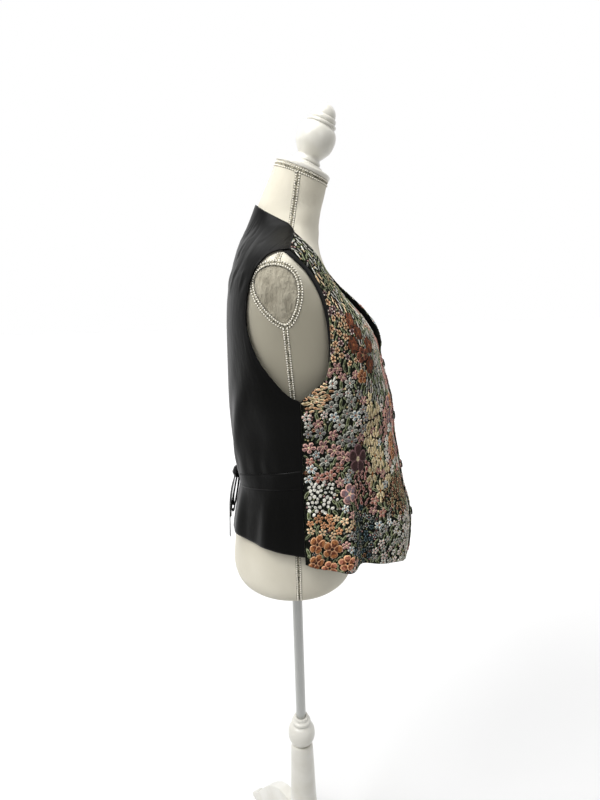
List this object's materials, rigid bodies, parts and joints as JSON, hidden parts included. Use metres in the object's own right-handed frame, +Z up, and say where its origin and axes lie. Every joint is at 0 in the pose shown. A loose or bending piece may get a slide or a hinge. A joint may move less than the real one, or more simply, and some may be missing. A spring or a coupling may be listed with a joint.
{
  "type": "tapestry vest on a dress form",
  "caption": "Sleeveless flower-tapestry vest with a black satin back, half belts and bow, worn on a limbless linen dress form on a turned, three-legged stand.",
  "frame": {"origin": "on the floor, under the middle of the overall bounding box", "axes": "+Z up, -Y towards the wearer's front, +X towards the wearer's left"},
  "size_m": [0.445, 0.3854, 1.5759],
  "materials": {
    "form_linen": "off-white linen over a padded form",
    "painted_wood": "off-white semi-gloss paint",
    "pole_steel": "light grey, satin",
    "back_satin": "black satin with a soft sheen",
    "tapestry": "flowers in many colours woven on a black ground",
    "facing_satin": "plain black lining",
    "button": "black, polished"
  },
  "bodies": {
    "root": {"form_torso": "form_linen", "neck_cap": "painted_wood", "finial": "painted_wood", "pole": "pole_steel", "stand_ball": "painted_wood", "stand_post": "painted_wood", "leg_front": "painted_wood", "leg_back_left": "painted_wood", "leg_back_right": "painted_wood", "front_right": "tapestry", "front_left": "tapestry", "neck_facing_left": "facing_satin", "arm_facing_right": "facing_satin", "arm_facing_left": "facing_satin", "button_1": "button", "button_2": "button", "button_3": "button", "button_4": "button", "vest_back": "back_satin", "belt_right": "back_satin", "belt_left": "back_satin", "belt_knot": "back_satin", "bow_loop_right": "back_satin", "bow_loop_left": "back_satin", "tie_end_right": "back_satin", "tie_end_left": "back_satin"}
  },
  "joints": []
}
